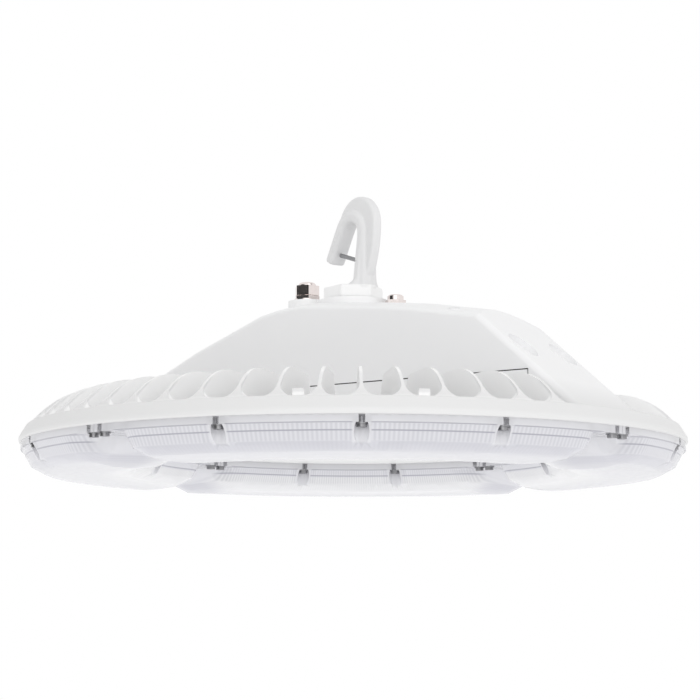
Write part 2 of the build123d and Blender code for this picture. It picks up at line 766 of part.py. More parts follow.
# Lenses. One is made about +X and turned to its place.
def sector_outline(inner, outer, edge_inset, corner=0.0):
    # A ring sector between two radii, its straight edges moved in from the sector's border
    half = math.radians(sector_angle / 2)
    inner_turn = half - math.asin(edge_inset / inner)
    outer_turn = half - math.asin(edge_inset / outer)
    inner_a = (inner * math.cos(inner_turn), -inner * math.sin(inner_turn))
    inner_b = (inner * math.cos(inner_turn), inner * math.sin(inner_turn))
    outer_a = (outer * math.cos(outer_turn), -outer * math.sin(outer_turn))
    outer_b = (outer * math.cos(outer_turn), outer * math.sin(outer_turn))
    face = make_face([ThreePointArc(inner_a, (inner, 0), inner_b), Line(inner_b, outer_b),
                      ThreePointArc(outer_b, (outer, 0), outer_a), Line(outer_a, inner_a)])
    if corner:
        face = fillet(face.vertices(), corner)
    return face


def crown_body(depth):
    # Everything above the crown's arc, which is lifted by this depth
    low = (crown_mid_radius, depth)
    radius = (crown_half_width ** 2 + shoulder_z ** 2) / (2 * shoulder_z)
    spread = crown_half_width + shoulder_lean
    rise = radius - math.sqrt(radius ** 2 - spread ** 2)
    start = (crown_mid_radius - spread, depth + rise)
    end = (crown_mid_radius + spread, depth + rise)
    outline = [ThreePointArc(start, low, end), Line(end, (reach, end[1])),
               Line((reach, end[1]), (reach, seat_z)), Line((reach, seat_z), (0, seat_z)),
               Line((0, seat_z), (0, start[1])), Line((0, start[1]), start)]
    return revolve(Plane.XZ * make_face(outline), Axis.Z)


def dome_outline(inset, z):
    outline = sector_outline(dome_inner_radius + inset, dome_outer_radius - inset, dome_end_inset + inset,
                             dome_corner_radius - inset)
    return Pos(0, 0, z) * outline


def dome_body(inset):
    # A leaning wall down to the crease, a flatter shoulder under it, and the crown's arc across
    below = shoulder_lean * shoulder_z / shoulder_height
    crease = dome_outline(inset + wall_lean, crease_z + inset / 2)
    wall = loft([dome_outline(inset, flange_z), crease], ruled=True)
    shoulder = loft([crease, dome_outline(wall_lean + shoulder_lean + below, inset)], ruled=True)
    return (wall + shoulder) & crown_body(inset)


def local_screw_places():
    outer = [on_circle(screw_circle_outer, a) for a in outer_screw_angles]
    inner = [on_circle(screw_circle_inner, a) for a in inner_screw_angles]
    return outer + inner


def make_lens():
    border = extrude(sector_outline(flange_inner_radius, flange_outer_radius, sector_gap / 2), seat_z)
    flange = border & slab(flange_z, seat_z)
    inside = dome_body(dome_wall) + extrude(dome_outline(dome_wall, flange_z), flange_thickness)
    keep = [rod(pocket_radius + pocket_wall, 0, seat_z, x, y) for x, y in local_screw_places()]
    body = (dome_body(0) + flange) - inside.cut(*keep)
    holes = [Pos(0, 0, seat_z - gasket_groove_depth) * extrude(gasket_outline(), gasket_groove_depth)]
    for x, y in local_screw_places():
        holes.append(rod(pocket_radius, -reach, flange_z, x, y))
        holes.append(rod(lens_screw_radius + screw_clearance, 0, reach, x, y))
    return body.cut(*holes)


def gasket_outline():
    outer = sector_outline(dome_inner_radius - gasket_outset, dome_outer_radius + gasket_outset,
                           dome_end_inset - gasket_outset, dome_corner_radius + gasket_outset)
    inner = sector_outline(dome_inner_radius + gasket_inside, dome_outer_radius - gasket_inside,
                           dome_end_inset + gasket_inside, dome_corner_radius - gasket_inside)
    return outer - inner


def make_lens_gasket():
    return Pos(0, 0, seat_z - gasket_groove_depth) * extrude(gasket_outline(), gasket_groove_depth)


def make_board():
    outline = sector_outline(board_inner_radius, board_outer_radius, board_edge_inset, board_corner)
    return Pos(0, 0, seat_z - board_thickness) * extrude(outline, board_thickness)


def make_chips():
    chips = []
    top = seat_z - board_thickness
    for radius in chip_rows:
        half = sector_angle / 2 - math.degrees(math.asin((board_edge_inset + board_corner) / radius))
        for number in range(chip_count):
            angle = -half + 2 * half * number / (chip_count - 1)
            chip = block(-chip_size / 2, chip_size / 2, -chip_size / 2, chip_size / 2, top - chip_height, top)
            chips.append(Rot(0, 0, angle) * Pos(radius, 0, 0) * chip)
    return Compound(children=chips)


def make_lens_screws(circle, angles):
    screws = []
    screw = make_screw(lens_screw_radius, lens_screw_length - 0.6, lens_head_radius, lens_head_height)
    for sector in range(sector_count):
        for angle in angles:
            x, y = on_circle(circle, sector_start_angle + sector * sector_angle + angle)
            screws.append(Pos(x, y, flange_z - lens_washer_thickness) * screw)
    return Compound(children=screws)


def make_lens_washers(circle, angles):
    washers = []
    for sector in range(sector_count):
        for angle in angles:
            x, y = on_circle(circle, sector_start_angle + sector * sector_angle + angle)
            washers.append(tube(lens_washer_radius, lens_screw_radius + thread_clearance,
                                flange_z - lens_washer_thickness, flange_z, x, y))
    return Compound(children=washers)


# Write every piece
os.makedirs("parts", exist_ok=True)
write(make_heat_sink(), "heat_sink")
write(make_driver_cover(), "driver_cover")
write(make_cover_gasket(), "cover_gasket")
write(make_cover_screws(), "cover_screws")
write(make_led_driver(), "led_driver")
write(make_driver_screws(), "driver_screws")
write(make_terminal_block(), "terminal_block")
write(make_hook(), "hook")
write(make_latch(), "hook_latch")
write(make_latch_pin(), "latch_pivot_pin")
write(make_latch_spring(), "latch_spring")
write(make_set_screw(), "hook_set_screw")
write(make_hook_seal(), "hook_seal")
write(make_hook_locknut(), "hook_locknut")
write(make_gland_washer(), "gland_washer")
write(make_gland_body(), "gland_body")
write(make_gland_seal(), "gland_seal")
write(make_gland_nut(), "gland_nut")
write(make_gland_locknut(), "gland_locknut")
write(make_breather_vent(), "breather_vent")
write(make_vent_washer(), "vent_washer")
lens = make_lens()
lens_gasket = make_lens_gasket()
board = make_board()
chips = make_chips()
for number, side in enumerate(["front", "right", "rear", "left"]):
    turn = Rot(0, 0, sector_start_angle + number * sector_angle)
    write(turn * lens, "lens_" + side)
    write(turn * lens_gasket, "lens_gasket_" + side)
    write(turn * board, "led_board_" + side)
    write(turn * chips, "led_chips_" + side)
write(make_lens_screws(screw_circle_outer, outer_screw_angles), "outer_lens_screws")
write(make_lens_screws(screw_circle_inner, inner_screw_angles), "inner_lens_screws")
write(make_lens_washers(screw_circle_outer, outer_screw_angles), "outer_lens_washers")
write(make_lens_washers(screw_circle_inner, inner_screw_angles), "inner_lens_washers")
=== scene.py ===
import bpy
import math
from mathutils import Matrix, Vector


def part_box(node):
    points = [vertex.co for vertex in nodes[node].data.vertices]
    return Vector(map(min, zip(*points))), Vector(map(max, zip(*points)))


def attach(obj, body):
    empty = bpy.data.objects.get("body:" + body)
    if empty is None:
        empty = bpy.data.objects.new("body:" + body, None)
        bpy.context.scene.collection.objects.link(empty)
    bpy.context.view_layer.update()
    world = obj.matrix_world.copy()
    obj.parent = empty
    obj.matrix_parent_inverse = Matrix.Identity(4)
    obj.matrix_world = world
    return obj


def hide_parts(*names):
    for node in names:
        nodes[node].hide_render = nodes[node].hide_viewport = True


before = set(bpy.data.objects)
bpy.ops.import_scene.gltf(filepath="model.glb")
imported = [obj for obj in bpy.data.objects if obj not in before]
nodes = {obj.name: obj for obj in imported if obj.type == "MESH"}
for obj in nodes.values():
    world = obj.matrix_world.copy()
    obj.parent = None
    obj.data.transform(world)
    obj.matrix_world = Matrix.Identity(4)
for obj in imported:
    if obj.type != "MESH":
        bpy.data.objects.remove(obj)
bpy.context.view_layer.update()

mm = 0.001
sides = ["front", "right", "rear", "left"]


def deselectAll():
    if bpy.context.object and bpy.context.object.mode != "OBJECT":
        bpy.ops.object.mode_set(mode="OBJECT")
    bpy.ops.object.select_all(action="DESELECT")


def makeActive(piece):
    deselectAll()
    piece.select_set(True)
    bpy.context.view_layer.objects.active = piece


def nameIt(name):
    piece = bpy.context.object
    piece.name = name
    piece.data.name = name
    return piece


def closeUp(piece, merge=0.00001):
    makeActive(piece)
    bpy.ops.object.mode_set(mode="EDIT")
    bpy.ops.mesh.select_all(action="SELECT")
    bpy.ops.mesh.remove_doubles(threshold=merge)
    bpy.ops.mesh.normals_make_consistent(inside=False)
    bpy.ops.object.mode_set(mode="OBJECT")


def smooth(piece, angle):
    makeActive(piece)
    bpy.ops.object.shade_smooth_by_angle(angle=math.radians(angle))


def applyModifier(piece, kind, **values):
    makeActive(piece)
    modifier = piece.modifiers.new(kind.title(), kind)
    for key, value in values.items():
        setattr(modifier, key, value)
    bpy.ops.object.modifier_apply(modifier=modifier.name)


def copyPiece(piece, name):
    twin = piece.copy()
    twin.data = piece.data.copy()
    twin.name = name
    twin.data.name = name
    bpy.context.collection.objects.link(twin)
    return twin


def nodeCopy(node, name):     # the solid's own surface as one merged mesh
    mesh = nodes[node].data.copy()
    mesh.name = name
    piece = bpy.data.objects.new(name, mesh)
    bpy.context.collection.objects.link(piece)
    closeUp(piece)
    return piece


def remove(piece):
    bpy.data.objects.remove(piece, do_unlink=True)


def spinOutline(outline, name, steps, degrees):
    # a closed outline of (radius, height) points is drawn by extruding one vertex, then spun round Z
    deselectAll()
    bpy.ops.mesh.primitive_plane_add(size=0.01)
    piece = nameIt(name)
    bpy.ops.object.mode_set(mode="EDIT")
    bpy.ops.mesh.select_all(action="SELECT")
    bpy.ops.mesh.merge(type="CENTER")
    bpy.ops.transform.translate(value=(outline[0][0], 0, outline[0][1]))
    for (x0, z0), (x1, z1) in zip(outline, outline[1:] + outline[:1]):
        bpy.ops.mesh.extrude_region_move(TRANSFORM_OT_translate={"value": (x1 - x0, 0, z1 - z0)})
    bpy.ops.mesh.select_all(action="SELECT")
    bpy.ops.mesh.remove_doubles(threshold=0.000001)
    bpy.ops.mesh.spin(steps=steps, angle=math.radians(degrees), center=(0, 0, 0), axis=(0, 0, 1))
    bpy.ops.mesh.select_all(action="SELECT")
    bpy.ops.mesh.remove_doubles(threshold=0.000001)
    bpy.ops.mesh.select_all(action="DESELECT")
    bpy.ops.mesh.select_non_manifold()
    bpy.ops.mesh.fill_holes(sides=0)
    bpy.ops.mesh.select_all(action="SELECT")
    bpy.ops.mesh.normals_make_consistent(inside=False)
    bpy.ops.object.mode_set(mode="OBJECT")
    return piece


# Shader maths written as expressions
class Wire:
    def __init__(self, tree, socket):
        self.tree = tree
        self.socket = socket

    def maths(self, operation, *values):
        node = self.tree.nodes.new("ShaderNodeMath")
        node.operation = operation
        for place, value in enumerate(values):
            if isinstance(value, Wire):
                self.tree.links.new(value.socket, node.inputs[place])
            else:
                node.inputs[place].default_value = value
        return Wire(self.tree, node.outputs[0])

    def __add__(self, other):
        return self.maths("ADD", self, other)

    def __radd__(self, other):
        return self.maths("ADD", other, self)

    def __sub__(self, other):
        return self.maths("SUBTRACT", self, other)

    def __rsub__(self, other):
        return self.maths("SUBTRACT", other, self)

    def __mul__(self, other):
        return self.maths("MULTIPLY", self, other)

    def __rmul__(self, other):
        return self.maths("MULTIPLY", other, self)

    def power(self, other):
        return self.maths("POWER", self, other)

    def clamped(self):
        return self.maths("MINIMUM", self.maths("MAXIMUM", self, 0.0), 1.0)

    def between(self, low, high):
        node = self.tree.nodes.new("ShaderNodeMapRange")
        self.tree.links.new(self.socket, node.inputs["Value"])
        node.inputs["From Min"].default_value = low
        node.inputs["From Max"].default_value = high
        return Wire(self.tree, node.outputs["Result"])


class Finish:
    def __init__(self, name, tree=None):
        if tree is None:
            self.material = bpy.data.materials.new(name)
            self.material.use_nodes = True
            tree = self.material.node_tree
        self.tree = tree
        self.shader = tree.nodes.get("Principled BSDF")
        self.body = Wire(tree, self.shader.outputs[0]) if self.shader else None

    def add(self, kind, settings, sockets, out=0):
        node = self.tree.nodes.new(kind)
        for key, value in settings.items():
            if key == "stops":
                ramp = node.color_ramp
                for place, (position, colour) in enumerate(value):
                    stop = ramp.elements[place] if place < 2 else ramp.elements.new(position)
                    stop.position = position
                    stop.color = (*colour, 1.0)
            else:
                setattr(node, key, value)
        self.feed(node, sockets)
        return Wire(self.tree, node.outputs[out])

    def feed(self, node, sockets):
        for key, value in sockets.items():
            if isinstance(value, Wire):
                self.tree.links.new(value.socket, node.inputs[key])
            else:
                node.inputs[key].default_value = value

    def surface(self, **sockets):
        self.feed(self.shader, {key.replace("_", " "): value for key, value in sockets.items()})

    def place(self):
        return self.add("ShaderNodeTexCoord", {}, {}, "Object")

    def axis(self, letter):
        return self.add("ShaderNodeSeparateXYZ", {}, {"Vector": self.place()}, letter)

    def noise(self, scale, detail=3.0, roughness=0.5):
        sockets = {"Vector": self.place(), "Scale": scale, "Detail": detail, "Roughness": roughness}
        return self.add("ShaderNodeTexNoise", {}, sockets, "Fac")

    def mix(self, factor, first, second):
        first, second = [value if isinstance(value, Wire) else (*value, 1.0) for value in (first, second)]
        return self.add("ShaderNodeMix", {"data_type": "RGBA"}, {0: factor, 6: first, 7: second}, 2)

    def bump(self, height, distance, strength):
        sockets = {"Height": height, "Distance": distance, "Strength": strength}
        return self.add("ShaderNodeBump", {}, sockets, "Normal")

    def blend(self, factor, first, second):     # two shaders, straight into the output
        mixed = self.add("ShaderNodeMixShader", {}, {0: factor, 1: first, 2: second})
        self.feed(self.tree.nodes["Material Output"], {"Surface": mixed})


print("scene: helpers ready")

# Finishes
firstLensAngle = -54.64     # degrees, the middle of the front lens
quarter = 90.0              # degrees from one lens to the next

# painted light and shade on the one white paint: its tone by zone, a darker rim and hook and brighter sides,
# hub and gaps between the fins; each pair of metres is where one zone fades into the next
paintAndPaintedLight = {"rim": (0.79, 0.79, 0.79), "side": (0.925, 0.925, 0.93), "hub": (0.96, 0.96, 0.96),
         "hook": (0.81, 0.81, 0.815), "gap": (0.97, 0.97, 0.97),
         "rimToSide": (0.046, 0.075), "sideToHub": (0.160, 0.172), "hubToHook": (0.1788, 0.1797),
         "gapFromAxis": (0.15, 0.17), "gapFloor": (0.0425, 0.0440), "gapTop": (0.072, 0.078),
         "finEndsReach": 0.3481, "finEndsSlope": 1.13, "finEndsFade": (0.001, 0.003),
         "rampStart": (0.19, 0.20), "rampHalfWidth": (0.075, 0.08),
         "roughness": 0.42, "spread": 0.12, "specular": 0.45, "grain": 900.0, "grainDetail": 2.0,
         "grainRoughness": 0.6, "grainDepth": 0.00006, "grainStrength": 0.35}
powderAndPaintedLight = Finish("whitePowderCoatAndPaintedLight")
height = powderAndPaintedLight.axis("Z")
east = powderAndPaintedLight.axis("X")
north = powderAndPaintedLight.axis("Y")
fromAxis = (east * east + north * north).power(0.5)
grain = powderAndPaintedLight.noise(paintAndPaintedLight["grain"], paintAndPaintedLight["grainDetail"], paintAndPaintedLight["grainRoughness"])
# where painted light brightens the gaps: between the fins, behind the sloping line of their ends, and not on
# the ramp
inGap = (paintAndPaintedLight["finEndsReach"] - height * paintAndPaintedLight["finEndsSlope"] - fromAxis).between(*paintAndPaintedLight["finEndsFade"])
inGap = inGap * fromAxis.between(*paintAndPaintedLight["gapFromAxis"]) * height.between(*paintAndPaintedLight["gapFloor"])
inGap = inGap * (1.0 - height.between(*paintAndPaintedLight["gapTop"]))
beside = north.maths("ABSOLUTE", north).between(*paintAndPaintedLight["rampHalfWidth"])
inGap = inGap * (1.0 - east.between(*paintAndPaintedLight["rampStart"]) * (1.0 - beside))
# painted shade on the rim and the hook, painted light on the sides and the hub
lower = powderAndPaintedLight.mix(height.between(*paintAndPaintedLight["rimToSide"]), paintAndPaintedLight["rim"], paintAndPaintedLight["side"])
# painted light between the fins, which cancels the shade that falls there
lower = powderAndPaintedLight.mix(inGap, lower, paintAndPaintedLight["gap"])
upper = powderAndPaintedLight.mix(height.between(*paintAndPaintedLight["hubToHook"]), paintAndPaintedLight["hub"], paintAndPaintedLight["hook"])
powderAndPaintedLight.surface(Base_Color=powderAndPaintedLight.mix(height.between(*paintAndPaintedLight["sideToHub"]), lower, upper),
               Roughness=paintAndPaintedLight["roughness"] + grain * paintAndPaintedLight["spread"],
               Normal=powderAndPaintedLight.bump(grain, paintAndPaintedLight["grainDepth"], paintAndPaintedLight["grainStrength"]),
               Specular_IOR_Level=paintAndPaintedLight["specular"])

# a thin clear wall: what lies behind shows straight through its transparent share; its tones are painted
# light and shade
clear = {"tint": (0.98, 0.98, 0.99, 1.0), "roughness": 0.1, "haze": 160.0, "hazeSpread": 0.08,
         "specular": 0.6, "dome": 0.64, "flange": 0.58, "edge": 0.2, "edgeBlend": 0.35, "atShank": 0.5,
         "height": 0.0294, "grooves": 504.0, "grooveShadeColour": (0.5, 0.5, 0.56), "grooveShadeShare": 0.4,
         "grooveWall": 0.75, "grooveShoulder": 0.22, "pocketLight": (0.93, 0.93, 0.96), "paintedInnerLightShare": 0.75,
         "crown": (0.80, 0.80, 0.84), "shoulder": (0.77, 0.77, 0.82), "wall": (0.88, 0.88, 0.92),
         "ledge": (0.5, 0.5, 0.56), "band": (0.90, 0.90, 0.94), "underFlangeShade": (0.58, 0.58, 0.63),
         "rim": (0.95, 0.95, 0.98)}
# where the parts of a lens's look fade in or out: metres, or degrees for the ends
fades = {"innerRow": (0.205, 0.235), "paintedInnerLight": (0.0155, 0.0165), "lensEnd": (40.0, 41.0),
         "shoulderStart": (0.003, 0.004), "shoulderEnd": (0.0085, 0.0090),
         "wallStart": (0.0090, 0.0105), "wallEnd": (0.0226, 0.0230), "pocketStart": (0.0075, 0.0095),
         "flangeStart": (0.0229, 0.0234)}
# the screws of a lens: the step from one to the next in degrees and along the arc in mm,
# and how many mm from the screw the look of its shank and the painted light of its pocket fade
screws = {"outerStep": 21.835, "outerArc": 113.4, "innerStep": 28.74, "innerArc": 95.05,
          "shank": (2.2, 2.8), "pocketLight": (6.6, 8.2)}
# from which to which share of the lens's height each tone stays: painted light and shade by height, with a
# painted shade line along the real ledge and another just under the flange's edge
bands = {"crown": (0.0, 0.10), "shoulder": (0.16, 0.31), "wall": (0.34, 0.57), "ledge": (0.585, 0.605),
         "band": (0.62, 0.775), "underFlangeShade": (0.785, 0.80), "rim": (0.81, 1.0)}
lensPlasticAndPaintedLight = Finish("clearRibbedPlasticAndPaintedLight")
haze = lensPlasticAndPaintedLight.noise(clear["haze"])
east = lensPlasticAndPaintedLight.axis("X")
north = lensPlasticAndPaintedLight.axis("Y")
up = lensPlasticAndPaintedLight.axis("Z")
turn = north.maths("ARCTAN2", north, east)
fromAxis = (east * east + north * north).power(0.5)
inner = 1.0 - fromAxis.between(*fades["innerRow"])
# the place along one lens in degrees from its middle, and from there the nearest screw in mm
along = turn * math.degrees(1) - firstLensAngle + 4.5 * quarter
along = along.maths("MODULO", along, quarter) - quarter / 2
toOuter = along * (1 / screws["outerStep"])
toOuter = toOuter.maths("ABSOLUTE", toOuter - toOuter.maths("ROUND", toOuter)) * screws["outerArc"]
toInner = (along + screws["innerStep"] / 2) * (1 / screws["innerStep"])
toInner = toInner.maths("ABSOLUTE", toInner - toInner.maths("ROUND", toInner)) * screws["innerArc"]
toScrew = toOuter + (toInner - toOuter) * inner
onFlange = up.between(*fades["flangeStart"])
nearScrew = (1.0 - toScrew.between(*screws["pocketLight"])) * up.between(*fades["pocketStart"])
onShank = (1.0 - toScrew.between(*screws["shank"])) * onFlange
atEnd = along.maths("ABSOLUTE", along).between(*fades["lensEnd"])
# the ribs are real geometry; this darkens the colour in lines at their pitch, a painted shade of the grooves
# on the wall and shoulder
wave = turn * clear["grooves"]
wave = wave.maths("SINE", wave) * 0.5 + 0.5
onWall = up.between(*fades["wallStart"]) * (1.0 - up.between(*fades["wallEnd"]))
onShoulder = up.between(*fades["shoulderStart"]) * (1.0 - up.between(*fades["shoulderEnd"]))
grooveShade = wave * (onWall * clear["grooveWall"] + onShoulder * clear["grooveShoulder"])
grooveShade = (grooveShade * (1.0 - nearScrew) * (1.0 - atEnd)).clamped()
# the painted light and shade of the bands, by height
stops = [(position, clear[band]) for band, ends in bands.items() for position in ends]
share = up.between(0.0, clear["height"])
tone = lensPlasticAndPaintedLight.add("ShaderNodeValToRGB", {"stops": stops}, {"Fac": share}, "Color")
# painted light: the inner side of the lens, up to about 16 mm, is mixed towards white
paintedInnerLight = inner * clear["paintedInnerLightShare"] * (1.0 - up.between(*fades["paintedInnerLight"]))
tone = lensPlasticAndPaintedLight.mix(paintedInnerLight, tone, (1.0, 1.0, 1.0))
# painted light: near the screws and at the lens's ends the tone is lighter, where the pockets lie in shade
tone = lensPlasticAndPaintedLight.mix((nearScrew + atEnd).clamped(), tone, clear["pocketLight"])
lensPlasticAndPaintedLight.surface(Base_Color=lensPlasticAndPaintedLight.mix(grooveShade * clear["grooveShadeShare"], tone, clear["grooveShadeColour"]),
                    Roughness=clear["roughness"] + haze * clear["hazeSpread"],
                    Specular_IOR_Level=clear["specular"])
clearShare = lensPlasticAndPaintedLight.add("ShaderNodeBsdfTransparent", {}, {"Color": clear["tint"]})
edgeOn = lensPlasticAndPaintedLight.add("ShaderNodeLayerWeight", {}, {"Blend": clear["edgeBlend"]}, "Facing")
cover = clear["dome"] + onFlange * (clear["flange"] - clear["dome"]) + edgeOn * clear["edge"]
cover = (cover - onShank * clear["atShank"]).clamped()
lensPlasticAndPaintedLight.blend(cover, clearShare, lensPlasticAndPaintedLight.body)


def mottled(name, look):    # tone and gloss that vary with a fine noise
    finish = Finish(name)
    mottle = finish.noise(look["grain"], look["detail"])
    finish.surface(Base_Color=finish.mix(mottle, look["first"], look["second"]),
                   Roughness=look["roughness"] + mottle * look["spread"],
                   Metallic=look["metallic"])
    return finish


darkSteel = mottled("darkSteel", {
    "first": (0.22, 0.22, 0.23), "second": (0.36, 0.36, 0.37), "grain": 700.0, "detail": 4.0,
    "roughness": 0.25, "spread": 0.2, "metallic": 1.0})
steel = mottled("plainSteel", {
    "first": (0.45, 0.45, 0.46), "second": (0.6, 0.6, 0.61), "grain": 500.0, "detail": 4.0,
    "roughness": 0.25, "spread": 0.2, "metallic": 1.0})
nickel = mottled("brightNickel", {
    "first": (0.74, 0.67, 0.65), "second": (0.86, 0.79, 0.77), "grain": 220.0, "detail": 4.0,
    "roughness": 0.1, "spread": 0.12, "metallic": 1.0})
castCase = mottled("satinAluminium", {
    "first": (0.5, 0.5, 0.51), "second": (0.62, 0.62, 0.63), "grain": 260.0, "detail": 4.0,
    "roughness": 0.35, "spread": 0.15, "metallic": 1.0})
rubber = mottled("blackRubber", {
    "first": (0.02, 0.02, 0.022), "second": (0.05, 0.05, 0.052), "grain": 350.0, "detail": 3.0,
    "roughness": 0.6, "spread": 0.2, "metallic": 0.0})
silicone = mottled("greySilicone", {
    "first": (0.2, 0.2, 0.21), "second": (0.28, 0.28, 0.29), "grain": 300.0, "detail": 3.0,
    "roughness": 0.55, "spread": 0.15, "metallic": 0.0})
solderMask = mottled("whiteSolderMask", {
    "first": (0.8, 0.8, 0.8), "second": (0.87, 0.87, 0.87), "grain": 400.0, "detail": 2.0,
    "roughness": 0.4, "spread": 0.1, "metallic": 0.0})
phosphor = mottled("yellowPhosphor", {
    "first": (0.82, 0.68, 0.28), "second": (0.88, 0.76, 0.38), "grain": 900.0, "detail": 2.0,
    "roughness": 0.3, "spread": 0.1, "metallic": 0.0})
terminalPlastic = mottled("greyTerminalPlastic", {
    "first": (0.68, 0.68, 0.66), "second": (0.76, 0.76, 0.74), "grain": 300.0, "detail": 2.0,
    "roughness": 0.45, "spread": 0.1, "metallic": 0.0})

nodeFinishes = {
    "heat_sink": powderAndPaintedLight, "driver_cover": powderAndPaintedLight, "hook": powderAndPaintedLight,
    "cover_gasket": rubber, "hook_seal": rubber, "gland_seal": rubber, "vent_washer": silicone,
    "cover_screws": steel, "driver_screws": steel, "hook_latch": darkSteel, "latch_pivot_pin": steel,
    "latch_spring": steel, "hook_set_screw": steel, "hook_locknut": steel,
    "outer_lens_screws": darkSteel, "inner_lens_screws": darkSteel,
    "outer_lens_washers": darkSteel, "inner_lens_washers": darkSteel,
    "gland_washer": nickel, "gland_body": nickel, "gland_nut": nickel, "gland_locknut": nickel,
    "breather_vent": nickel, "led_driver": castCase, "terminal_block": terminalPlastic,
}
for side in sides:
    nodeFinishes["lens_" + side] = lensPlasticAndPaintedLight
    nodeFinishes["lens_gasket_" + side] = silicone
    nodeFinishes["led_board_" + side] = solderMask
    nodeFinishes["led_chips_" + side] = phosphor


def dress(piece, finish):
    piece.data.materials.clear()
    piece.data.materials.append(finish.material)


for name, node in nodes.items():
    for slot in node.material_slots:
        slot.material = nodeFinishes[name].material
print("scene: finishes ready")

# Lenses: the solid's own shell with prismatic ribs cut across its wall and crown, sizes in mm
ribs = {"perSector": 126, "spare": 8, "depth": 0.5, "skin": 0.25, "crownSteps": 8,
        "ledgeDepth": 0.7, "ledgeHeight": 17.6, "ledgeRise": 0.5, "ledgeFullFrom": 50.0,
        "belowFlange": 0.12, "cutInner": 172, "cutOuter": 315, "cutLow": -20, "sharpFrom": 12}
lensForm = {"outer": 301.5, "inner": 185.5, "flange": 6.2, "wallLean": 7.5, "wallHeight": 13.7,
            "shoulderLean": 13.0, "shoulderHeight": 6.6}
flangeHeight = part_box("lens_front")[1].z / mm - lensForm["flange"]


def ribSection():
    # half of the section, from the middle of the crown to the flange: offset, height, above the ledge
    middle = (lensForm["outer"] + lensForm["inner"]) / 2
    crownHalf = (lensForm["outer"] - lensForm["inner"]) / 2 - lensForm["wallLean"] - lensForm["shoulderLean"]
    creaseHeight = flangeHeight - lensForm["wallHeight"]
    shoulderHeight = creaseHeight - lensForm["shoulderHeight"]
    radius = (crownHalf ** 2 + shoulderHeight ** 2) / (2 * shoulderHeight)
    half = []
    for step in range(ribs["crownSteps"] + 1):
        offset = crownHalf * step / ribs["crownSteps"]
        half.append((offset, radius - math.sqrt(radius ** 2 - offset ** 2), False))
    creaseOffset = crownHalf + lensForm["shoulderLean"]
    half.append((creaseOffset, creaseHeight, False))
    wallSlope = lensForm["wallLean"] / lensForm["wallHeight"]
    ledge = ribs["ledgeHeight"]
    half.append((creaseOffset + wallSlope * (ledge - creaseHeight), ledge, False))
    over = ledge + ribs["ledgeRise"]
    half.append((creaseOffset + wallSlope * (over - creaseHeight), over, True))
    half.append((creaseOffset + lensForm["wallLean"], flangeHeight, True))
    return middle, half


def makeRibCutter():
    middle, half = ribSection()
    top = flangeHeight - ribs["belowFlange"]
    rows = []
    for place, (offset, height, above) in enumerate(half):
        before = half[max(place - 1, 0)]
        after = half[min(place + 1, len(half) - 1)]
        along = Vector((after[0] - before[0], after[1] - before[1])).normalized()
        inward = Vector((-along.y, along.x))
        depth = ribs["skin"]
        if not above:
            depth += ribs["ledgeDepth"] * min(1.0, offset / ribs["ledgeFullFrom"])
        rows.append((offset, height, inward, depth))
    outline = []
    moves = {}
    for sign in (1, -1):
        line = rows if sign == 1 else rows[1:]
        part = []
        for offset, height, inward, depth in line:
            x = middle + sign * (offset + inward.x * depth)
            z = min(height + inward.y * depth, top)
            part.append((x * mm, z * mm))
            moves[(round(x, 2), round(z, 2))] = Vector((sign * inward.x, inward.y)) * ribs["depth"]
        outline = part if sign == 1 else part[::-1] + outline
    near, far, low = ribs["cutInner"] * mm, ribs["cutOuter"] * mm, ribs["cutLow"] * mm
    outline = [(near, low), (near, top * mm)] + outline + [(far, top * mm), (far, low)]
    steps = 2 * ribs["perSector"] + ribs["spare"]
    sweep = quarter * steps / (2 * ribs["perSector"])
    cutter = spinOutline(outline, "ribCutter", steps, sweep)
    # every second line of the fan goes deeper, which leaves a row of sharp ribs
    for vertex in cutter.data.vertices:
        spot = vertex.co
        radius = math.hypot(spot.x, spot.y)
        move = moves.get((round(radius / mm, 2), round(spot.z / mm, 2)))
        angle = math.atan2(spot.y, spot.x) % (2 * math.pi)
        line = round(math.degrees(angle) / (sweep / steps))
        if move is not None and line % 2:
            grown = (radius + move.x * mm) / radius
            vertex.co = (spot.x * grown, spot.y * grown, spot.z + move.y * mm)
    cutter.data.transform(Matrix.Rotation(math.radians(firstLensAngle - sweep / 2), 4, "Z"))
    return cutter


cutter = makeRibCutter()
lens = nodeCopy("lens_front", "ribbedLens_front")
applyModifier(lens, "BOOLEAN", operation="DIFFERENCE", solver="EXACT", object=cutter)
remove(cutter)
closeUp(lens, 0.000002)
smooth(lens, ribs["sharpFrom"])
applyModifier(lens, "WEIGHTED_NORMAL", keep_sharp=True, weight=100)
dress(lens, lensPlasticAndPaintedLight)
for place, side in enumerate(sides):
    piece = copyPiece(lens, "ribbedLens_" + side) if place else lens
    piece.data.transform(Matrix.Rotation(math.radians(quarter * place), 4, "Z"))
    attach(piece, "root")
    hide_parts("lens_" + side)
print("scene: lenses ready", len(lens.data.polygons))

# Hook: the solid with its joints blended as in a casting
blendHook = {"cell": 0.0007, "passes": 14, "strength": 0.5, "keep": 0.35, "sharpFrom": 40}
hook = nodeCopy("hook", "castHook")
applyModifier(hook, "REMESH", mode="VOXEL", voxel_size=blendHook["cell"])
applyModifier(hook, "SMOOTH", factor=blendHook["strength"], iterations=blendHook["passes"])
applyModifier(hook, "DECIMATE", ratio=blendHook["keep"])
smooth(hook, blendHook["sharpFrom"])
dress(hook, powderAndPaintedLight)
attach(hook, "root")
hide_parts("hook")
print("scene: hook ready", len(hook.data.polygons))

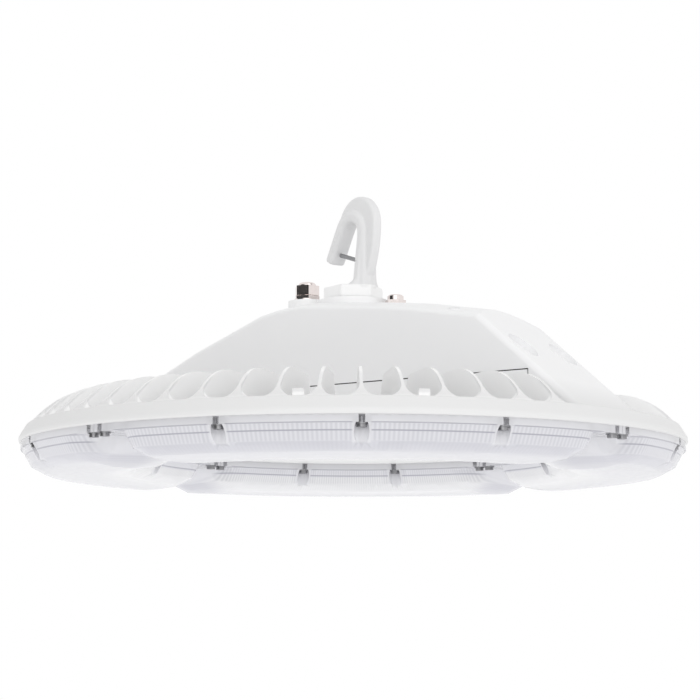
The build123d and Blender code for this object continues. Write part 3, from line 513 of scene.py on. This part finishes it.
# Floor, which glows enough to look white and still takes the object's shadow
ground = {"size": 8.0, "height": -1.1, "glow": 1.25, "share": 0.72, "shareSeen": 0.2}
deselectAll()
bpy.ops.mesh.primitive_plane_add(size=ground["size"], location=(0, 0, ground["height"]))
floor = nameIt("studioFloor")
floorFinish = Finish("paleFloor")
floorFinish.surface(Base_Color=(0.93, 0.93, 0.93, 1.0), Roughness=0.9)
seen = floorFinish.add("ShaderNodeLightPath", {}, {}, "Is Camera Ray") * ground["shareSeen"] + ground["share"]
glow = floorFinish.add("ShaderNodeEmission", {}, {"Color": (1, 1, 1, 1), "Strength": ground["glow"]})
floorFinish.blend(seen, floorFinish.body, glow)
dress(floor, floorFinish)

# a dark card beside the light, which only the metal and the gloss of the plastic reflect
card = {"distance": 1.9, "azimuth": 240.0, "height": 0.55, "width": 1.9, "tall": 1.5}
deselectAll()
bpy.ops.mesh.primitive_plane_add(size=1.0)
darkCard = nameIt("darkCard")
cardTurn = math.radians(card["azimuth"])
cardPlace = (card["distance"] * math.cos(cardTurn), card["distance"] * math.sin(cardTurn), card["height"])
darkCard.data.transform(Matrix.Translation(cardPlace) @ Matrix.Rotation(cardTurn, 4, "Z")
                        @ Matrix.Rotation(math.radians(90), 4, "Y")
                        @ Matrix.Diagonal((card["tall"], card["width"], 1.0, 1.0)))
cardFinish = Finish("blackCard")
cardFinish.surface(Base_Color=(0.02, 0.02, 0.02, 1.0), Roughness=0.9)
dress(darkCard, cardFinish)
for rays in ("camera", "diffuse", "shadow", "transmission", "volume_scatter"):
    setattr(darkCard, "visible_" + rays, False)

# Light
studio = {"ambient": 0.78, "lampSize": 1.6, "lampAim": (0, 0, 0.08),
          "keyPower": 8.0, "keyPlace": (1.9, -0.9, 1.5), "fillPower": 5.5, "fillPlace": (1.2, -2.1, 0.5)}
world = bpy.data.worlds.new("studioWorld")
bpy.context.scene.world = world
world.use_nodes = True
sky = Finish("sky", world.node_tree)
# seen directly or in a gloss the world is white, and its light on the part is dimmer
kinds = ("Is Camera Ray", "Is Glossy Ray", "Is Transmission Ray")
direct = sum(sky.add("ShaderNodeLightPath", {}, {}, kind) for kind in kinds)
strength = direct.clamped() * (1 - studio["ambient"]) + studio["ambient"]
sky.feed(world.node_tree.nodes["Background"], {"Color": (1, 1, 1, 1), "Strength": strength})


def addLamp(name, power, spot):
    lamp = bpy.data.lights.new(name, "AREA")
    lamp.energy = power
    lamp.shape = "SQUARE"
    lamp.size = studio["lampSize"]
    holder = bpy.data.objects.new(name, lamp)
    bpy.context.collection.objects.link(holder)
    holder.location = spot
    holder.rotation_euler = (Vector(studio["lampAim"]) - Vector(spot)).to_track_quat("-Z", "Y").to_euler()


addLamp("keyLamp", studio["keyPower"], studio["keyPlace"])
addLamp("fillLamp", studio["fillPower"], studio["fillPlace"])
print("scene: floor and light ready")

# Camera
view = {"eye": (0.9591, -1.4167, -0.1209), "aim": (-0.0025, -0.0017, 0.1213), "focal": 95.34, "roll": 0.084}
cameraData = bpy.data.cameras.new("photoCamera")
cameraData.lens = view["focal"]
cameraData.sensor_width = 36.0
camera = bpy.data.objects.new("photoCamera", cameraData)
bpy.context.collection.objects.link(camera)
camera.location = view["eye"]
look = (Vector(view["aim"]) - Vector(view["eye"])).to_track_quat("-Z", "Y").to_matrix().to_4x4()
camera.rotation_euler = (look @ Matrix.Rotation(math.radians(view["roll"]), 4, "Z")).to_euler()
bpy.context.scene.camera = camera
bpy.context.scene.view_settings.view_transform = "Standard"
bpy.context.scene.cycles.transparent_max_bounces = 32     # the clear walls stand many deep at the screws

print("scene: finished")
